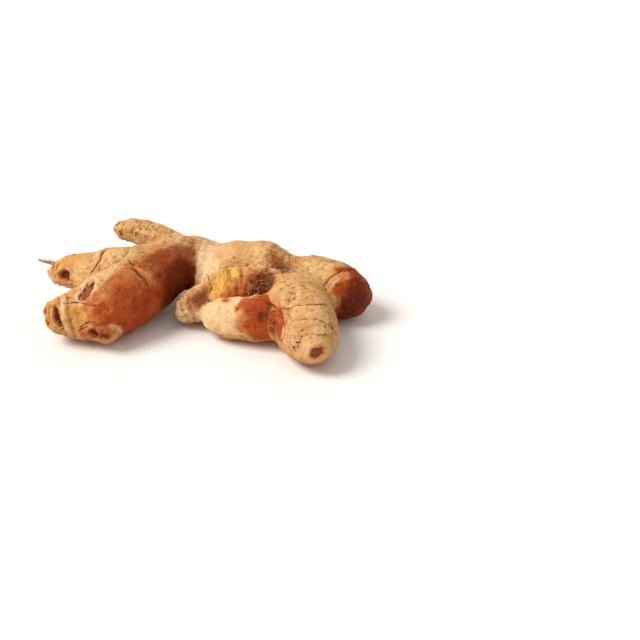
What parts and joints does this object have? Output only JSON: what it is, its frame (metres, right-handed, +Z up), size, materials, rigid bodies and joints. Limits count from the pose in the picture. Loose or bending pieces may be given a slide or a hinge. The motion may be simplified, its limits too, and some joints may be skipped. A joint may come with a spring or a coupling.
{
  "type": "ginger root",
  "caption": "Fresh ginger rhizome lying on its side: swollen, ringed fingers branching from one crown, with blunt and broken tips and a thin tan skin.",
  "frame": {"origin": "on the surface the root rests on, under the middle of its bounding box", "axes": "+X along the root's longest extent, from the palm's toe to the side finger's tip; +Y from the front finger towards the crown; +Z up, out of the surface"},
  "size_m": [0.1512, 0.102, 0.0297],
  "materials": {
    "ginger_skin": "dry, thin, corky skin, matt on the flats and a little satin on the young tips"
  },
  "bodies": {
    "root": {"ginger_root": "ginger_skin"}
  },
  "joints": []
}
